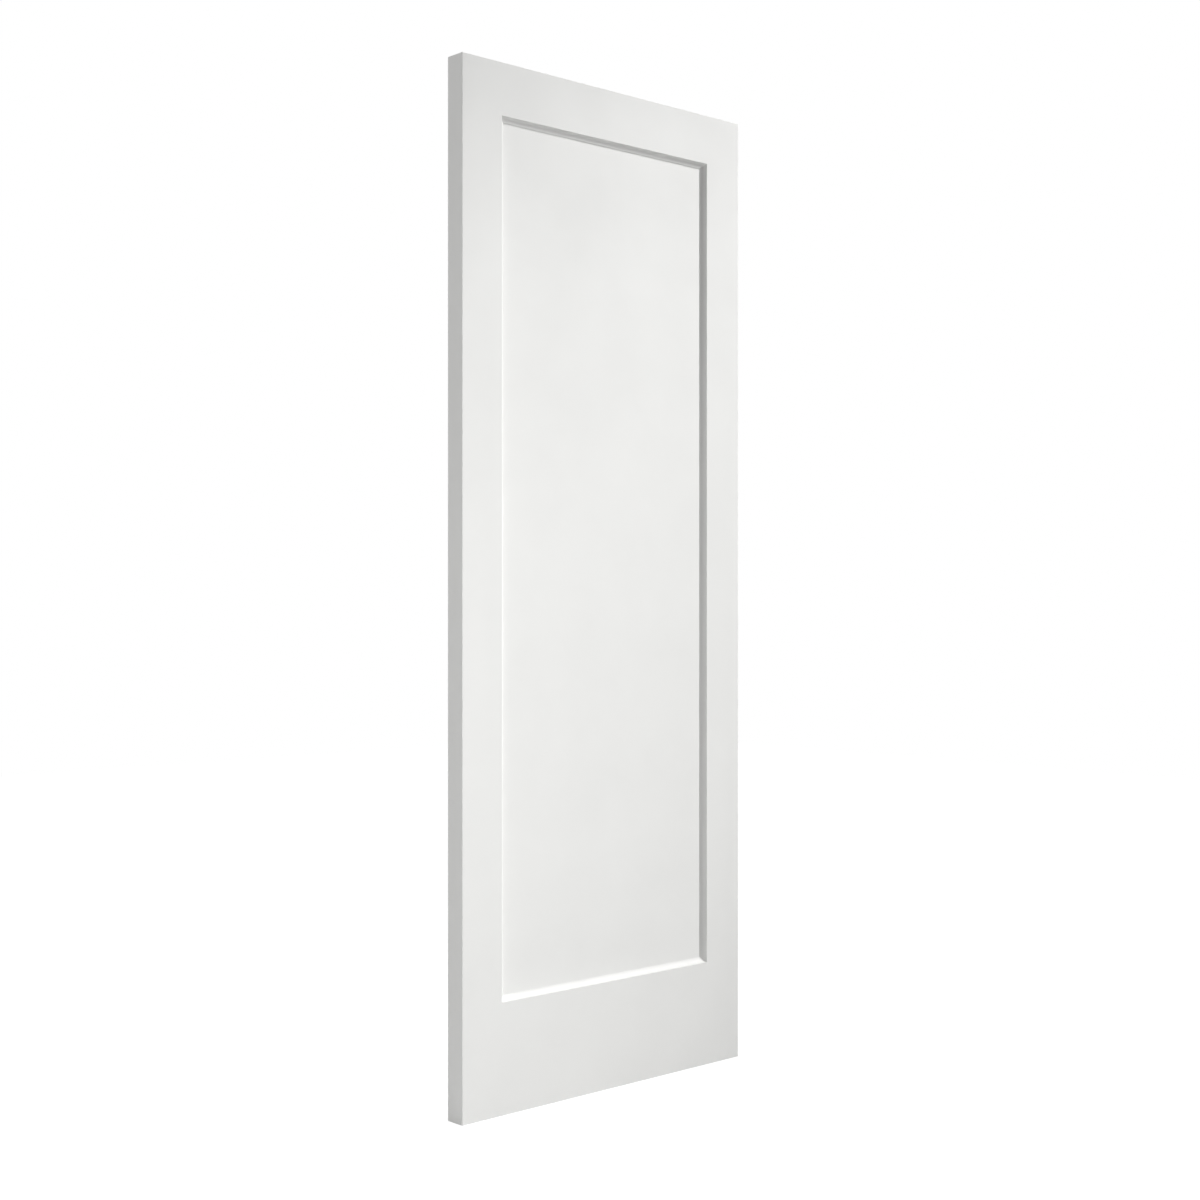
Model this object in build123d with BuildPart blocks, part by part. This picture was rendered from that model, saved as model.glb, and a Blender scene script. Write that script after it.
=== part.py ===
from build123d import *
import os

# One-panel interior door slab, in millimetres.
# The origin is at the foot of the left edge, half way through the thickness. X runs across the
# width, Y through the thickness with the front face at -Y, and Z up.

# The slab
door_width = 762.0
door_height = 2032.0
door_thickness = 44.45

# The frame round the panel: each width runs from the door's edge to the sight line, where the
# member meets the panel
stile_width = 108.4
top_rail_width = 113.0
bottom_rail_width = 229.3
skin_thickness = 3.2
edge_band_thickness = 19.0
arris_radius = 1.0

# The sticking: a hollow that sweeps in from each face to a small nose beside the panel's groove
sticking_run = 11.0
sticking_hollow_radius = 14.0
sticking_nose = 1.0
sticking_band_width = 25.0
groove_depth = 12.0

# The panel floats in the groove
panel_thickness = 22.2
panel_face_clearance = 0.1
panel_edge_clearance = 2.0

# Each rail end has a stub tenon in the stile's groove, and dowels through it
tenon_end_gap = 1.0
dowel_diameter = 12.7
dowel_length = 127.0
dowel_side_clearance = 0.05
dowel_end_clearance = 1.5
dowel_margin = 22.0
dowel_chamfer = 1.2
top_rail_dowels = 2
bottom_rail_dowels = 3

# Heights above the middle of the thickness, the same on both faces
face_half = door_thickness / 2
core_half = face_half - skin_thickness
groove_half = panel_thickness / 2 + panel_face_clearance
nose_half = groove_half + sticking_nose

# Where the rails' blanks begin and end along X: they reach over the hollow and into the groove
rail_start = stile_width - max(groove_depth - tenon_end_gap, sticking_run)
rail_length = door_width - 2 * rail_start

# Each member has a plane of its own: x runs from the door's edge towards the panel, y towards
# the back face, and the member is extruded along z
left_stile_plane = Plane(origin=(0, 0, 0), x_dir=(1, 0, 0), z_dir=(0, 0, 1))
right_stile_plane = Plane(origin=(door_width, 0, door_height), x_dir=(-1, 0, 0), z_dir=(0, 0, -1))
top_rail_plane = Plane(origin=(rail_start, 0, door_height), x_dir=(0, 0, -1), z_dir=(1, 0, 0))
bottom_rail_plane = Plane(
    origin=(rail_start + rail_length, 0, 0), x_dir=(0, 0, 1), z_dir=(-1, 0, 0)
)
FRONT = -1
BACK = 1


def sticking_reach(member_width, height):
    """Distance from a member's outer edge to the chord of its hollow, at a height above
    mid-thickness."""
    lean = (height - nose_half) / (face_half - nose_half)
    return member_width - sticking_run * lean


def mirrored_outline(upper_half):
    """A face through points above mid-thickness and the same points below it."""
    Polygon(*upper_half, *[(x, -y) for x, y in reversed(upper_half)])


def hollow_out(member_width):
    """Cut the hollows of both faces into the section being drawn, each from arris to nose."""
    rise = face_half - nose_half
    chord = (sticking_run**2 + rise**2) ** 0.5
    stand_off = (sticking_hollow_radius**2 - (chord / 2) ** 2) ** 0.5
    centre_x = member_width - sticking_run / 2 + stand_off * rise / chord
    centre_y = (face_half + nose_half) / 2 + stand_off * sticking_run / chord
    with Locations((centre_x, centre_y), (centre_x, -centre_y)):
        Circle(sticking_hollow_radius, mode=Mode.SUBTRACT)


def member_section(member_width):
    """The whole section of a member: flat faces, two hollows with their noses, and the groove."""
    groove_floor = member_width - groove_depth
    upper_half = [
        (groove_floor, groove_half),
        (member_width, groove_half),
        (member_width, nose_half),
        (sticking_reach(member_width, face_half), face_half),
        (0, face_half),
    ]
    mirrored_outline(upper_half)
    hollow_out(member_width)


def sticking_section(member_width):
    """The inner band of a member, between the skins: groove, noses and the foot of each hollow."""
    band_start = member_width - sticking_band_width
    upper_half = [
        (member_width - groove_depth, groove_half),
        (member_width, groove_half),
        (member_width, nose_half),
        (sticking_reach(member_width, core_half), core_half),
        (band_start, core_half),
    ]
    mirrored_outline(upper_half)
    hollow_out(member_width)


def skin_section(member_width, side):
    """The sheet on one face of a member, cut to the curve of the hollow along its inner edge."""
    Polygon(
        (0, side * core_half),
        (sticking_reach(member_width, core_half), side * core_half),
        (sticking_reach(member_width, face_half), side * face_half),
        (0, side * face_half),
    )
    hollow_out(member_width)


def dowel_heights(rail_plane, rail_width, count):
    """Heights of the dowels of one rail, spread evenly across its core."""
    spread = rail_width - sticking_band_width - 2 * dowel_margin
    places = [dowel_margin + spread * step / (count - 1) for step in range(count)]
    return [rail_plane.from_local_coords((place, 0, 0)).Z for place in places]


top_dowel_heights = dowel_heights(top_rail_plane, top_rail_width, top_rail_dowels)
bottom_dowel_heights = dowel_heights(bottom_rail_plane, bottom_rail_width, bottom_rail_dowels)
left_sight_line = stile_width
right_sight_line = door_width - stile_width


def drill(sight_line, heights):
    """Bore the dowel holes across the joint at a sight line, in the part being built."""
    with Locations(*[(sight_line, 0, height) for height in heights]):
        Cylinder(
            radius=dowel_diameter / 2 + dowel_side_clearance,
            height=dowel_length + 2 * dowel_end_clearance,
            rotation=(0, 90, 0),
            mode=Mode.SUBTRACT,
        )


def drill_stile(sight_line):
    """Bore a stile piece for the dowels of both rails."""
    drill(sight_line, top_dowel_heights)
    drill(sight_line, bottom_dowel_heights)


def drill_rail(heights):
    """Bore a rail piece for the dowels at both of its ends."""
    drill(left_sight_line, heights)
    drill(right_sight_line, heights)


# The whole sections of both stiles, which the rails' ends are coped to
with BuildPart() as stile_forms:
    for stile_plane in (left_stile_plane, right_stile_plane):
        with BuildSketch(stile_plane):
            member_section(stile_width)
    extrude(amount=door_height)


def stile_pieces(stile_plane, sight_line):
    """The edge band, core, grooved sticking and two skins of one full-height stile."""
    with BuildPart() as edge_band:
        with BuildSketch(stile_plane):
            Rectangle(edge_band_thickness, 2 * core_half, align=(Align.MIN, Align.CENTER))
        extrude(amount=door_height)

    with BuildPart() as core:
        with BuildSketch(stile_plane):
            with Locations((edge_band_thickness, 0)):
                Rectangle(
                    stile_width - edge_band_thickness - sticking_band_width,
                    2 * core_half,
                    align=(Align.MIN, Align.CENTER),
                )
        extrude(amount=door_height)
        drill_stile(sight_line)

    with BuildPart() as sticking:
        with BuildSketch(stile_plane):
            sticking_section(stile_width)
        extrude(amount=door_height)
        drill_stile(sight_line)

    with BuildPart() as front_skin:
        with BuildSketch(stile_plane):
            skin_section(stile_width, FRONT)
        extrude(amount=door_height)
        outer_arrises = front_skin.edges().filter_by(Axis.Z).group_by(Axis.Y)[0]
        fillet(outer_arrises.sort_by_distance(stile_plane.origin)[0], radius=arris_radius)

    with BuildPart() as back_skin:
        with BuildSketch(stile_plane):
            skin_section(stile_width, BACK)
        extrude(amount=door_height)
        outer_arrises = back_skin.edges().filter_by(Axis.Z).group_by(Axis.Y)[-1]
        fillet(outer_arrises.sort_by_distance(stile_plane.origin)[0], radius=arris_radius)

    return {
        "edge_band": edge_band,
        "core": core,
        "sticking": sticking,
        "front_skin": front_skin,
        "back_skin": back_skin,
    }


def rail_pieces(rail_plane, rail_width, heights):
    """The core, grooved sticking and two skins of one rail, with coped and tenoned ends."""
    with BuildPart() as core:
        with BuildSketch(rail_plane):
            Rectangle(
                rail_width - sticking_band_width,
                2 * core_half,
                align=(Align.MIN, Align.CENTER),
            )
        extrude(amount=rail_length)
        add(stile_forms.part, mode=Mode.SUBTRACT)
        drill_rail(heights)

    with BuildPart() as sticking:
        with BuildSketch(rail_plane):
            sticking_section(rail_width)
        extrude(amount=rail_length)
        add(stile_forms.part, mode=Mode.SUBTRACT)

    with BuildPart() as front_skin:
        with BuildSketch(rail_plane):
            skin_section(rail_width, FRONT)
        extrude(amount=rail_length)
        add(stile_forms.part, mode=Mode.SUBTRACT)

    with BuildPart() as back_skin:
        with BuildSketch(rail_plane):
            skin_section(rail_width, BACK)
        extrude(amount=rail_length)
        add(stile_forms.part, mode=Mode.SUBTRACT)

    return {
        "core": core,
        "sticking": sticking,
        "front_skin": front_skin,
        "back_skin": back_skin,
    }


def joint_dowels(sight_line, heights):
    """The dowels of one joint between a stile and a rail, with chamfered ends."""
    with BuildPart() as dowels:
        with Locations(*[(sight_line, 0, height) for height in heights]):
            Cylinder(radius=dowel_diameter / 2, height=dowel_length, rotation=(0, 90, 0))
        chamfer(dowels.edges().filter_by(GeomType.CIRCLE), length=dowel_chamfer)
    return dowels


# The flat panel, let into the grooves all round
panel_reach = groove_depth - panel_edge_clearance
panel_left = left_sight_line - panel_reach
panel_bottom = bottom_rail_width - panel_reach
panel_width = right_sight_line + panel_reach - panel_left
panel_height = door_height - top_rail_width + panel_reach - panel_bottom

with BuildPart() as panel:
    with BuildSketch(Plane(origin=(panel_left, 0, panel_bottom), x_dir=(1, 0, 0), z_dir=(0, 1, 0))):
        Rectangle(panel_width, panel_height, align=(Align.MIN, Align.MAX))
    extrude(amount=panel_thickness / 2, both=True)

# Every piece under its name
door_pieces = {"panel": panel}
members = {
    "left_stile": stile_pieces(left_stile_plane, left_sight_line),
    "right_stile": stile_pieces(right_stile_plane, right_sight_line),
    "top_rail": rail_pieces(top_rail_plane, top_rail_width, top_dowel_heights),
    "bottom_rail": rail_pieces(bottom_rail_plane, bottom_rail_width, bottom_dowel_heights),
}
for member_name, pieces in members.items():
    for piece_name, piece in pieces.items():
        door_pieces[f"{member_name}_{piece_name}"] = piece
door_pieces["top_left_dowels"] = joint_dowels(left_sight_line, top_dowel_heights)
door_pieces["top_right_dowels"] = joint_dowels(right_sight_line, top_dowel_heights)
door_pieces["bottom_left_dowels"] = joint_dowels(left_sight_line, bottom_dowel_heights)
door_pieces["bottom_right_dowels"] = joint_dowels(right_sight_line, bottom_dowel_heights)

os.makedirs("parts", exist_ok=True)
for name, piece in door_pieces.items():
    piece.part.label = name
    export_step(piece.part, f"parts/{name}.step")
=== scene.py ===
"""Dresses a primed one-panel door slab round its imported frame, lights it and sets the camera."""
import logging
import math
from dataclasses import dataclass, field
from enum import Enum

import bpy
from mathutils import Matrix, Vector

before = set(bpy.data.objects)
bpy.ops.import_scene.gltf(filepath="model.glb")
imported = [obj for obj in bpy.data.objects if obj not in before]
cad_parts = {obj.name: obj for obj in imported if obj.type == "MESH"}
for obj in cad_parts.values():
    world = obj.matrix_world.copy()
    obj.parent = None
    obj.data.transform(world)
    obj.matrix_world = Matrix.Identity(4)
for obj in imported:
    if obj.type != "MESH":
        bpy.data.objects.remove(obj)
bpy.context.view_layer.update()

# One millimetre in the scene's metres
MM = 0.001
# Nearly all of a noise texture's values lie between these
NOISE_LOW, NOISE_HIGH = 0.3, 0.7
NODES: dict[str, bpy.types.Object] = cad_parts
Socket = bpy.types.NodeSocket
Tree = bpy.types.NodeTree
log = logging.getLogger("door")


def linear(hex_colour: str) -> tuple[float, float, float, float]:
    """Turn an sRGB hex colour into the linear colour that a shader takes.

    Args:
        hex_colour: Six hex digits after a #.

    Returns:
        Linear red, green and blue, and an alpha of 1.
    """
    channels = [int(hex_colour[place : place + 2], 16) / 255 for place in (1, 3, 5)]
    red, green, blue = (
        value / 12.92 if value <= 0.04045 else ((value + 0.055) / 1.055) ** 2.4
        for value in channels
    )
    return red, green, blue, 1.0


def add_node(
    tree: Tree,
    kind: str,
    settings: dict[str | int, object] | None = None,
    links: dict[str | int, Socket] | None = None,
) -> bpy.types.Node:
    """Add one shader node with its settings and links.

    Args:
        tree: The tree that takes the node.
        kind: The node's type name.
        settings: Values by socket name or number, or by the node's own property name.
        links: Output sockets that feed this node, by input name or number.

    Returns:
        The new node.
    """
    node = tree.nodes.new(kind)
    for name, value in (settings or {}).items():
        if isinstance(name, str) and hasattr(node, name):
            setattr(node, name, value)
        else:
            node.inputs[name].default_value = value
    for name, source in (links or {}).items():
        tree.links.new(source, node.inputs[name])
    return node


class Grain(Enum):
    """The way the wood runs in a piece, as the axis that it follows."""

    UPRIGHT = "Z"
    LEVEL = "X"


@dataclass(frozen=True)
class SprayedPrimer:
    """Flat white vinyl primer, sprayed and cured in the factory.

    It hides the colour under it, so the eye sees an even, slightly soft white. The film is a
    little thicker in some places, which clouds its tone and sheen, and it dries with a faint
    orange peel that only a grazing light picks out.

    Attributes:
        name: The material's name.
        colour: The film at its full thickness.
        thin_colour: The film where it is thinnest.
        roughness: Its usual roughness, that of a flat paint.
        sheen_spread: How far the roughness strays from that, up and down.
        ior: The usual value for a vinyl or acrylic binder.
        cloud_width: Width of the clouds in tone and sheen, in millimetres.
        cloud_detail: How many finer sizes of cloud are laid over the widest.
        cloud_contrast: How strong each finer size is next to the one before it.
        peel_width: Width of one dimple of the orange peel, in millimetres. Real ones are 1 to 2,
            drawn at twice that so that they show.
        peel_depth: Depth of a dimple, in millimetres.
    """

    name: str
    colour: str = "#ededeb"
    thin_colour: str = "#eaeae8"
    roughness: float = 0.6
    sheen_spread: float = 0.03
    ior: float = 1.5
    cloud_width: float = 190.0
    cloud_detail: float = 3.0
    cloud_contrast: float = 0.55
    peel_width: float = 3.0
    peel_depth: float = 0.015

    def material(self) -> bpy.types.Material:
        """Build the material with this finish."""
        material = bpy.data.materials.new(self.name)
        material.use_nodes = True
        tree = material.node_tree
        shader = tree.nodes["Principled BSDF"]
        shader.inputs["IOR"].default_value = self.ior
        place = add_node(tree, "ShaderNodeTexCoord").outputs["Object"]
        clouds = add_node(
            tree, "ShaderNodeTexNoise",
            {
                "Scale": 1 / (self.cloud_width * MM),
                "Detail": self.cloud_detail,
                "Roughness": self.cloud_contrast,
            },
            {"Vector": place},
        ).outputs["Fac"]
        colour = self.tone(tree, place, clouds)
        roughness = self.gloss(tree, clouds)
        height = self.relief(tree, place)
        bump = add_node(
            tree, "ShaderNodeBump", {"Strength": 1.0, "Distance": MM}, {"Height": height}
        )
        tree.links.new(colour, shader.inputs["Base Color"])
        tree.links.new(roughness, shader.inputs["Roughness"])
        tree.links.new(bump.outputs["Normal"], shader.inputs["Normal"])
        return material

    def tone(self, tree: Tree, place: Socket, clouds: Socket) -> Socket:
        """Colour of the film, clouded between its full and its thinnest coat.

        Args:
            tree: The material's tree.
            place: The point's place on the door, in metres.
            clouds: The film's thickness, from 0 to 1.

        Returns:
            The colour.
        """
        film = add_node(
            tree, "ShaderNodeMapRange",
            {"From Min": NOISE_LOW, "From Max": NOISE_HIGH}, {"Value": clouds},
        )
        mix = add_node(
            tree, "ShaderNodeMix",
            {"data_type": "RGBA", 6: linear(self.thin_colour), 7: linear(self.colour)},
            {0: film.outputs[0]},
        )
        return mix.outputs[2]

    def gloss(self, tree: Tree, clouds: Socket) -> Socket:
        """Roughness of the film, a little less where it is thick.

        Args:
            tree: The material's tree.
            clouds: The film's thickness, from 0 to 1.

        Returns:
            The roughness.
        """
        spread = add_node(
            tree, "ShaderNodeMapRange",
            {
                "From Min": NOISE_LOW,
                "From Max": NOISE_HIGH,
                "To Min": self.roughness + self.sheen_spread,
                "To Max": self.roughness - self.sheen_spread,
            },
            {"Value": clouds},
        )
        return spread.outputs[0]

    def relief(self, tree: Tree, place: Socket) -> Socket:
        """Height of the film in millimetres: the orange peel.

        Args:
            tree: The material's tree.
            place: The point's place on the door, in metres.

        Returns:
            The height.
        """
        peel = add_node(
            tree, "ShaderNodeTexNoise",
            {"Scale": 1 / (self.peel_width * MM), "Detail": 1.0},
            {"Vector": place},
        )
        height = add_node(
            tree, "ShaderNodeMath",
            {"operation": "MULTIPLY", 1: self.peel_depth}, {0: peel.outputs["Fac"]},
        )
        return height.outputs[0]


@dataclass(frozen=True)
class PrimedSoftwood(SprayedPrimer):
    """Radiata pine, planed, sanded and sprayed with the same primer.

    The film follows the harder latewood, so long thin ridges run with the grain. Short lengths
    are finger-jointed end to end, and each takes the primer a little differently. Sawn ends
    drink it: there it is thin, warmer and duller, and the growth rings show through.

    Attributes:
        grain: The way the wood runs.
        ring_width: Spacing of the growth rings, in millimetres.
        ring_depth: How far the latewood stands proud, in millimetres.
        ring_length: How many times longer a ring's waves are along the grain than across it.
        ring_waviness: How far the rings wander from round.
        wave_size: How fine that wandering is, next to the rings.
        log_spread: How far apart in the log two blocks can be cut, in metres.
        length_of_block: Length of one finger-jointed piece, in millimetres.
        width_of_block: Width of one glued strip, in millimetres, across the face.
        stagger: How far each strip's joints start past its neighbour's, in widths of a strip.
        block_share: Share of the tone that goes by the block, and the rest by the clouds.
        finger_length: Length of a finger, in millimetres.
        finger_pitch: Distance from one finger to the next, in millimetres.
        end_colour: The film on earlywood at a sawn end.
        end_ring_colour: The film on latewood at a sawn end.
        end_dullness: How much rougher a sawn end is.
        end_turn: How squarely a face has to look along the grain to be a sawn end, from 0 to 1.
    """

    grain: Grain = Grain.UPRIGHT
    ring_width: float = 4.0
    ring_depth: float = 0.03
    ring_length: float = 40.0
    ring_waviness: float = 3.0
    wave_size: float = 0.6
    log_spread: float = 3.0
    length_of_block: float = 410.0
    width_of_block: float = 60.0
    stagger: float = 7.3
    block_share: float = 0.6
    finger_length: float = 10.0
    finger_pitch: float = 4.0
    end_colour: str = "#e6e3db"
    end_ring_colour: str = "#d9d2c4"
    end_dullness: float = 0.15
    end_turn: float = 0.7

    def split(self, tree: Tree, vector: Socket) -> tuple[Socket, Socket, Socket]:
        """Take a vector apart along the grain, across it and through the door's thickness.

        Args:
            tree: The material's tree.
            vector: Any vector in the door's axes.

        Returns:
            Its parts along the grain, across it and through the thickness.
        """
        parts = add_node(tree, "ShaderNodeSeparateXYZ", links={0: vector}).outputs
        across = "X" if self.grain is Grain.UPRIGHT else "Z"
        return parts[self.grain.value], parts[across], parts["Y"]

    def block(self, tree: Tree, place: Socket) -> Socket:
        """A number from 0 to 1 that differs from one finger-jointed length to the next.

        Args:
            tree: The material's tree.
            place: The point's place on the door, in metres.

        Returns:
            The number.
        """
        along, across, depth = self.split(tree, place)
        half_pitch = self.finger_pitch * MM / 2
        finger = add_node(
            tree, "ShaderNodeMath", {"operation": "PINGPONG", 1: half_pitch}, {0: depth}
        )
        zigzag = add_node(
            tree, "ShaderNodeMath",
            {"operation": "MULTIPLY_ADD", 1: self.finger_length * MM / half_pitch},
            {0: finger.outputs[0], 2: along},
        )
        strip = add_node(
            tree, "ShaderNodeMath", {"operation": "SNAP", 1: self.width_of_block * MM}, {0: across}
        )
        staggered = add_node(
            tree, "ShaderNodeMath", {"operation": "MULTIPLY_ADD", 1: self.stagger},
            {0: strip.outputs[0], 2: zigzag.outputs[0]},
        )
        length = add_node(
            tree, "ShaderNodeMath",
            {"operation": "SNAP", 1: self.length_of_block * MM}, {0: staggered.outputs[0]},
        )
        seed = add_node(
            tree, "ShaderNodeCombineXYZ", links={0: strip.outputs[0], 1: length.outputs[0]}
        )
        pick = add_node(tree, "ShaderNodeTexWhiteNoise", links={"Vector": seed.outputs[0]})
        return pick.outputs["Value"]

    def rings(self, tree: Tree, place: Socket) -> Socket:
        """The growth rings, stretched along the grain and different in each block.

        Args:
            tree: The material's tree.
            place: The point's place on the door, in metres.

        Returns:
            From 0 in earlywood to 1 in latewood.
        """
        along, across, depth = self.split(tree, place)
        drawn_out = add_node(
            tree, "ShaderNodeMath", {"operation": "DIVIDE", 1: self.ring_length}, {0: along}
        )
        shift = add_node(
            tree, "ShaderNodeMath", {"operation": "MULTIPLY", 1: self.log_spread},
            {0: self.block(tree, place)},
        )
        sideways = add_node(
            tree, "ShaderNodeMath", {"operation": "ADD"}, {0: across, 1: shift.outputs[0]}
        )
        wood = add_node(
            tree, "ShaderNodeCombineXYZ",
            links={0: sideways.outputs[0], 1: depth, 2: drawn_out.outputs[0]},
        )
        wave = add_node(
            tree, "ShaderNodeTexWave",
            {
                "wave_type": "RINGS",
                "rings_direction": "Z",
                # One ring of this texture is 2π / (20 · Scale) wide
                "Scale": 2 * math.pi / (20 * self.ring_width * MM),
                "Distortion": self.ring_waviness,
                "Detail": 2.0,
                "Detail Scale": self.wave_size,
            },
            {"Vector": wood.outputs[0]},
        )
        return wave.outputs["Fac"]

    def sawn_end(self, tree: Tree) -> Socket:
        """1 on a face sawn across the grain, and 0 elsewhere.

        Args:
            tree: The material's tree.

        Returns:
            The mask.
        """
        facing = add_node(tree, "ShaderNodeTexCoord").outputs["Normal"]
        along = self.split(tree, facing)[0]
        size = add_node(tree, "ShaderNodeMath", {"operation": "ABSOLUTE"}, {0: along})
        mask = add_node(
            tree, "ShaderNodeMath",
            {"operation": "GREATER_THAN", 1: self.end_turn}, {0: size.outputs[0]},
        )
        return mask.outputs[0]

    def tone(self, tree: Tree, place: Socket, clouds: Socket) -> Socket:
        """Colour of the film: one tone for each block, and bare rings at the sawn ends.

        Args:
            tree: The material's tree.
            place: The point's place on the door, in metres.
            clouds: The film's thickness, from 0 to 1.

        Returns:
            The colour.
        """
        film = add_node(
            tree, "ShaderNodeMix", {"data_type": "FLOAT", 0: self.block_share},
            {2: clouds, 3: self.block(tree, place)},
        )
        side = super().tone(tree, place, film.outputs[0])
        end = add_node(
            tree, "ShaderNodeMix",
            {"data_type": "RGBA", 6: linear(self.end_colour), 7: linear(self.end_ring_colour)},
            {0: self.rings(tree, place)},
        )
        mix = add_node(
            tree, "ShaderNodeMix", {"data_type": "RGBA"},
            {0: self.sawn_end(tree), 6: side, 7: end.outputs[2]},
        )
        return mix.outputs[2]

    def gloss(self, tree: Tree, clouds: Socket) -> Socket:
        """Roughness of the film, which is duller on the sawn ends.

        Args:
            tree: The material's tree.
            clouds: The film's thickness, from 0 to 1.

        Returns:
            The roughness.
        """
        duller = add_node(
            tree, "ShaderNodeMath", {"operation": "MULTIPLY_ADD", 1: self.end_dullness},
            {0: self.sawn_end(tree), 2: super().gloss(tree, clouds)},
        )
        return duller.outputs[0]

    def relief(self, tree: Tree, place: Socket) -> Socket:
        """Height in millimetres: the orange peel over the ridges of the latewood.

        Args:
            tree: The material's tree.
            place: The point's place on the door, in metres.

        Returns:
            The height.
        """
        height = add_node(
            tree, "ShaderNodeMath", {"operation": "MULTIPLY_ADD", 1: self.ring_depth},
            {0: self.rings(tree, place), 2: super().relief(tree, place)},
        )
        return height.outputs[0]


@dataclass(frozen=True)
class BareBeech:
    """Steamed beech, turned to a dowel and left bare for the glue.

    The eye sees a warm pink-brown with a fine straight grain and short dark flecks.

    Attributes:
        name: The material's name.
        colour: The wood between the flecks.
        fleck_colour: The rays, cut across.
        roughness: The usual value for planed bare wood.
        ior: The usual value for wood.
        fleck_spacing: Distance from one fleck to the next, in millimetres. Real ones are closer,
            drawn this far apart so that they show.
        fleck_edge: Where a fleck ends and where the plain wood starts, in spacings from its
            middle.
        fleck_length: How many times longer a fleck is along the dowel than across it.
        fleck_depth: How far the flecks are sunk, in millimetres.
    """

    name: str
    colour: str = "#c9a178"
    fleck_colour: str = "#a5764c"
    roughness: float = 0.65
    ior: float = 1.5
    fleck_spacing: float = 1.8
    fleck_edge: tuple[float, float] = (0.1, 0.3)
    fleck_length: float = 6.0
    fleck_depth: float = 0.05

    def material(self) -> bpy.types.Material:
        """Build the material with this finish."""
        material = bpy.data.materials.new(self.name)
        material.use_nodes = True
        tree = material.node_tree
        shader = tree.nodes["Principled BSDF"]
        shader.inputs["IOR"].default_value = self.ior
        shader.inputs["Roughness"].default_value = self.roughness
        place = add_node(tree, "ShaderNodeTexCoord").outputs["Object"]
        drawn_out = add_node(
            tree, "ShaderNodeMapping",
            {"Scale": (1 / self.fleck_length, 1.0, 1.0)}, {"Vector": place},
        )
        rays = add_node(
            tree, "ShaderNodeTexVoronoi",
            {"feature": "F1", "Scale": 1 / (self.fleck_spacing * MM)},
            {"Vector": drawn_out.outputs[0]},
        )
        fleck_end, plain_start = self.fleck_edge
        fleck = add_node(
            tree, "ShaderNodeMapRange", {"From Min": fleck_end, "From Max": plain_start},
            {"Value": rays.outputs["Distance"]},
        )
        colour = add_node(
            tree, "ShaderNodeMix",
            {"data_type": "RGBA", 6: linear(self.fleck_colour), 7: linear(self.colour)},
            {0: fleck.outputs[0]},
        )
        bump = add_node(
            tree, "ShaderNodeBump",
            {"Distance": self.fleck_depth * MM}, {"Height": fleck.outputs[0]},
        )
        tree.links.new(colour.outputs[2], shader.inputs["Base Color"])
        tree.links.new(bump.outputs["Normal"], shader.inputs["Normal"])
        return material


@dataclass
class Member:
    """A stile or rail: a glued softwood core and sticking between two hardboard skins.

    Attributes:
        name: The start of the names of its pieces.
        grain: The way its wood runs.
        has_edge_band: Whether it has a solid band along its outer edge.
        core_strip: Width of one glued strip of the core, in millimetres.
        pine_rings: Spacing of the growth rings in the sticking and edge band, in millimetres.
    """

    name: str
    grain: Grain
    has_edge_band: bool
    core_strip: float = 45.0
    pine_rings: float = 3.0

    def dress(self, skin: bpy.types.Material) -> None:
        """Give each piece of the member its finish.

        Args:
            skin: The finish of both skins.
        """
        for side in ("front", "back"):
            self.put(f"{side}_skin", skin)
        # Planed core blocks show only at the ends of the door, where the coat is thinnest
        self.put(
            "core",
            PrimedSoftwood(
                f"primed_softwood_core_{self.name}",
                grain=self.grain,
                width_of_block=self.core_strip,
            ).material(),
        )
        pine = PrimedSoftwood(
            f"primed_finger_jointed_pine_{self.name}", grain=self.grain, ring_width=self.pine_rings
        ).material()
        self.put("sticking", pine)
        if self.has_edge_band:
            self.put("edge_band", pine)

    def put(self, piece: str, material: bpy.types.Material) -> None:
        """Put a material on one piece of the member.

        Args:
            piece: The piece's name after the member's.
            material: Its finish.
        """
        dress(f"{self.name}_{piece}", material)


def dress(node: str, material: bpy.types.Material) -> None:
    """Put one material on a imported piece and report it.

    Args:
        node: The piece's name.
        material: Its finish.
    """
    slots = NODES[node].data.materials
    slots.clear()
    slots.append(material)
    log.info("dressed %s in %s", node, material.name)


@dataclass
class DoorSlab:
    """The whole slab: two stiles, two rails, the panel and the dowels.

    Attributes:
        members: The stiles and rails.
        joints: The joints that the dowels are named for.
        skin_peel_depth: Depth of the orange peel on the skins, in millimetres. They are pressed
            smooth, so the film lies flatter there than on the panel.
        panel_peel_width: Width of a dimple of the orange peel on the panel, in millimetres.
    """

    members: list[Member] = field(
        default_factory=lambda: [
            Member("left_stile", Grain.UPRIGHT, True),
            Member("right_stile", Grain.UPRIGHT, True),
            Member("top_rail", Grain.LEVEL, False),
            Member("bottom_rail", Grain.LEVEL, False),
        ]
    )
    joints: tuple[str, ...] = ("top_left", "top_right", "bottom_left", "bottom_right")
    skin_peel_depth: float = 0.012
    panel_peel_width: float = 3.4

    def dress(self) -> None:
        """Give every piece its material."""
        skin = SprayedPrimer("sprayed_primer_on_hardboard", peel_depth=self.skin_peel_depth)
        skin_material = skin.material()
        for member in self.members:
            member.dress(skin_material)
        panel = SprayedPrimer("sprayed_primer_on_fibreboard", peel_width=self.panel_peel_width)
        dress("panel", panel.material())
        beech = BareBeech("bare_beech").material()
        for joint in self.joints:
            dress(f"{joint}_dowels", beech)


class LampKind(Enum):
    """How a studio lamp throws its light."""

    SOFTBOX = "AREA"
    SPOT = "SPOT"


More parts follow.
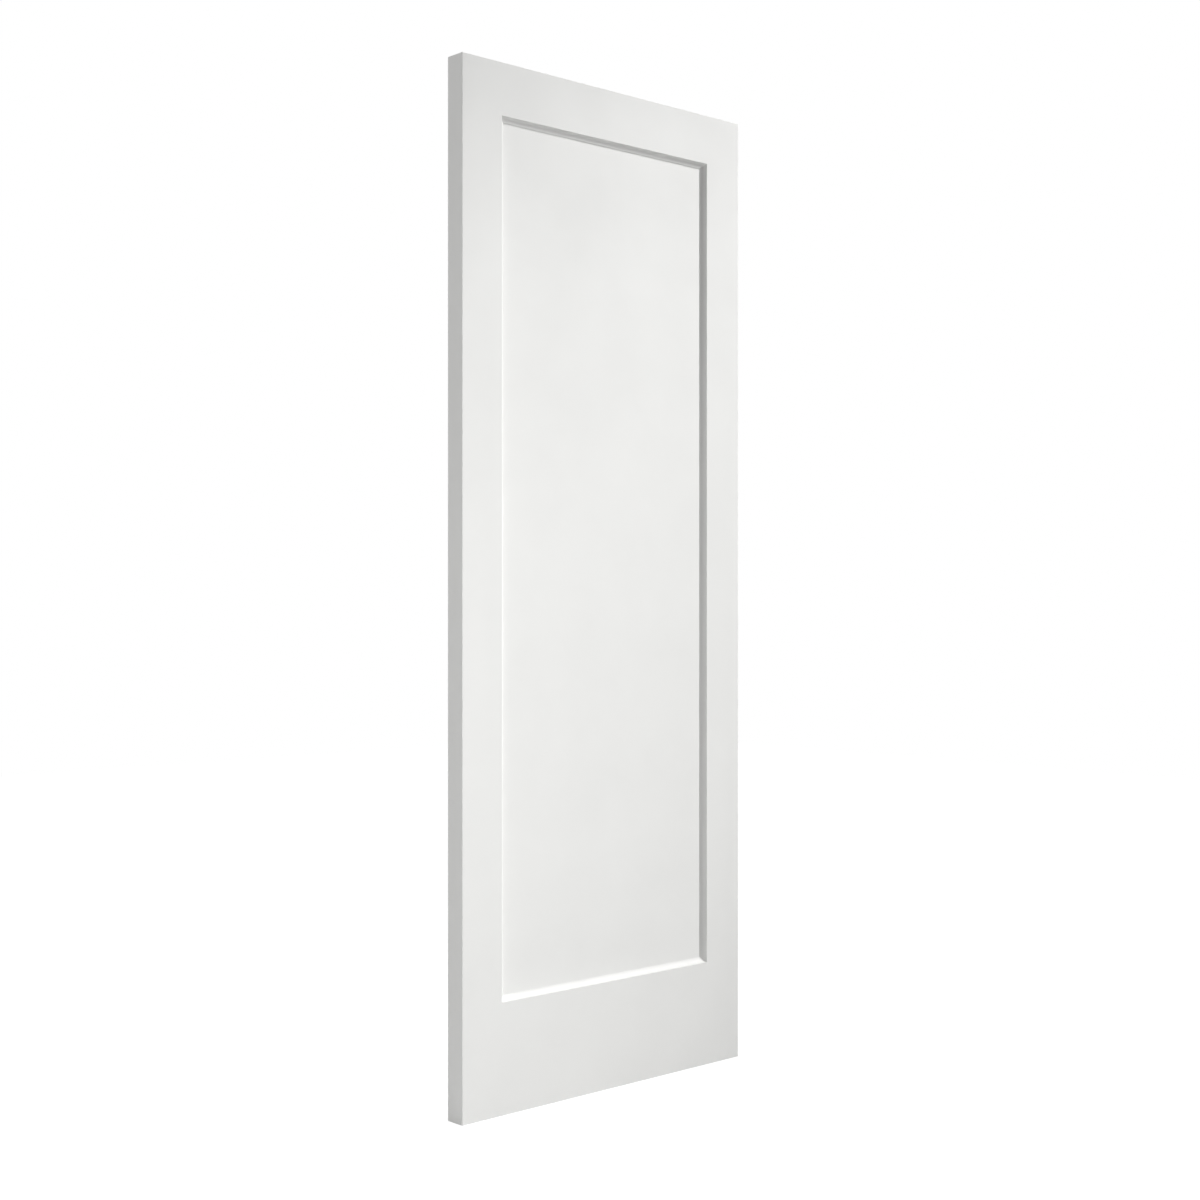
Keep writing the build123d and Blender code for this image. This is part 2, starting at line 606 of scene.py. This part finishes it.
@dataclass(frozen=True)
class Lamp:
    """One studio lamp.

    Attributes:
        name: The lamp's name.
        kind: How it throws its light.
        place: Where it hangs, in metres.
        power: Its power, in watts.
        size: The side of a softbox or the diameter of a spot, in metres.
        cone: The full angle of a spot's cone, in degrees; it fades from the middle outwards.
        target: The point that it faces, in metres.
    """

    name: str
    kind: LampKind
    place: tuple[float, float, float]
    power: float
    size: float = 1.0
    cone: float = 0.0
    target: tuple[float, float, float] = (0.38, 0.0, 1.0)

    def build(self) -> None:
        """Hang the lamp and turn it to its target."""
        data = bpy.data.lights.new(self.name, self.kind.value)
        data.energy = self.power
        if self.kind is LampKind.SPOT:
            data.shadow_soft_size = self.size / 2
            data.spot_size = math.radians(self.cone)
            data.spot_blend = 1.0
        else:
            data.shape = "SQUARE"
            data.size = self.size
        lamp = bpy.data.objects.new(self.name, data)
        lamp.location = self.place
        aim = Vector(self.target) - Vector(self.place)
        lamp.rotation_euler = aim.to_track_quat("-Z", "Y").to_euler()
        bpy.context.scene.collection.objects.link(lamp)


@dataclass
class Studio:
    """A pale floor, a sky that the camera sees as white, and lamps that face the door.

    Attributes:
        floor_width: The floor's side, in metres.
        floor_grey: The floor's grey for the light that it throws back on the door.
        floor_glow: The floor's own white for the camera and for reflections.
        floor_lit: The grey that the lamps and the door's shadow add to that white.
        sky_front: The sky's strength in front of the door.
        sky_back: The sky's strength behind the door.
        sky_turn: Where the sky starts and stops growing paler towards the back, as the part of a
            direction that points to the back.
        lamps: The lamps.
    """

    floor_width: float = 14.0
    floor_grey: float = 0.5
    floor_glow: float = 0.92
    floor_lit: float = 0.2
    sky_front: float = 0.0
    sky_back: float = 1.217
    sky_turn: tuple[float, float] = (-0.2, 0.4)
    lamps: tuple[Lamp, ...] = (
        Lamp("key", LampKind.SPOT, (5.8, -5.0, 7.8), 2066.0, cone=18.0, target=(0.2, 0.0, 0.9)),
        Lamp("low_key", LampKind.SPOT, (6.8, -5.4, 6.0), 2337.0, cone=24.0),
        Lamp("fill", LampKind.SOFTBOX, (-0.6, -1.6, 0.9), 9.6),
    )

    def build(self) -> None:
        """Make the floor, the sky and the lamps."""
        self.build_floor()
        self.build_sky()
        for lamp in self.lamps:
            lamp.build()

    def shown(self, tree: Tree) -> Socket:
        """1 for rays from the camera, a mirror or glass, and 0 for the rays that light things.

        Args:
            tree: The material's or world's tree.

        Returns:
            The mask.
        """
        path = add_node(tree, "ShaderNodeLightPath").outputs
        seen = add_node(
            tree, "ShaderNodeMath", {"operation": "MAXIMUM"},
            {0: path["Is Camera Ray"], 1: path["Is Glossy Ray"]},
        )
        seen = add_node(
            tree, "ShaderNodeMath", {"operation": "MAXIMUM"},
            {0: seen.outputs[0], 1: path["Is Transmission Ray"]},
        )
        return seen.outputs[0]

    def build_floor(self) -> None:
        """Lay the floor under the door: white paper that keeps the door's shadow."""
        half = self.floor_width / 2
        mesh = bpy.data.meshes.new("studio_floor")
        corners = [(-half, -half, 0), (half, -half, 0), (half, half, 0), (-half, half, 0)]
        mesh.from_pydata(corners, [], [(0, 1, 2, 3)])
        floor = bpy.data.objects.new("studio_floor", mesh)
        bpy.context.scene.collection.objects.link(floor)
        material = bpy.data.materials.new("floor_paper")
        material.use_nodes = True
        tree = material.node_tree
        tree.nodes.remove(tree.nodes["Principled BSDF"])
        paper, lit = (
            add_node(tree, "ShaderNodeBsdfDiffuse", {"Color": (grey, grey, grey, 1)})
            for grey in (self.floor_grey, self.floor_lit)
        )
        glow = add_node(tree, "ShaderNodeEmission", {"Strength": self.floor_glow})
        white = add_node(tree, "ShaderNodeAddShader", links={0: glow.outputs[0], 1: lit.outputs[0]})
        mix = add_node(
            tree, "ShaderNodeMixShader",
            links={0: self.shown(tree), 1: paper.outputs[0], 2: white.outputs[0]},
        )
        tree.links.new(mix.outputs[0], tree.nodes["Material Output"].inputs["Surface"])
        mesh.materials.append(material)

    def build_sky(self) -> None:
        """Light the door from a sky that is paler behind it, and show it as white."""
        world = bpy.data.worlds.new("studio_sky")
        bpy.context.scene.world = world
        world.use_nodes = True
        tree = world.node_tree
        background = tree.nodes["Background"]
        background.inputs["Color"].default_value = (1, 1, 1, 1)
        direction = add_node(tree, "ShaderNodeTexCoord").outputs["Generated"]
        parts = add_node(tree, "ShaderNodeSeparateXYZ", links={0: direction}).outputs
        turn_start, turn_end = self.sky_turn
        spread = add_node(
            tree, "ShaderNodeMapRange",
            {
                "From Min": turn_start,
                "From Max": turn_end,
                "To Min": self.sky_front,
                "To Max": self.sky_back,
            },
            {"Value": parts["Y"]},
        )
        level = add_node(
            tree, "ShaderNodeMix", {"data_type": "FLOAT", 3: 1.0},
            {0: self.shown(tree), 2: spread.outputs[0]},
        )
        tree.links.new(level.outputs[0], background.inputs["Strength"])


@dataclass(frozen=True)
class Viewpoint:
    """The photograph's camera: level, left of the door and in front of it.

    Attributes:
        place: Where it stands, in metres.
        yaw: How far it is turned to the right of the door's depth axis, in degrees.
        focal_pixels: Its focal length in pixels of the photograph.
        frame_pixels: The photograph's width in pixels.
        sensor: Width of the sensor, in millimetres.
    """

    place: tuple[float, float, float] = (-2.087, -2.688, 0.995)
    yaw: float = 42.476
    focal_pixels: float = 1784.0
    frame_pixels: float = 1200.0
    sensor: float = 36.0

    def build(self) -> None:
        """Set the scene's camera."""
        data = bpy.data.cameras.new("camera")
        data.sensor_width = self.sensor
        data.lens = self.focal_pixels / self.frame_pixels * self.sensor
        camera = bpy.data.objects.new("camera", data)
        camera.location = self.place
        camera.rotation_euler = (math.radians(90), 0, -math.radians(self.yaw))
        bpy.context.scene.collection.objects.link(camera)
        bpy.context.scene.camera = camera


def main() -> None:
    """Dress the door, light it and set the camera."""
    logging.basicConfig(level=logging.INFO, format="%(name)s: %(message)s")
    DoorSlab().dress()
    Studio().build()
    Viewpoint().build()
    bpy.context.scene.view_settings.view_transform = "Standard"


if __name__ == "__main__":
    main()
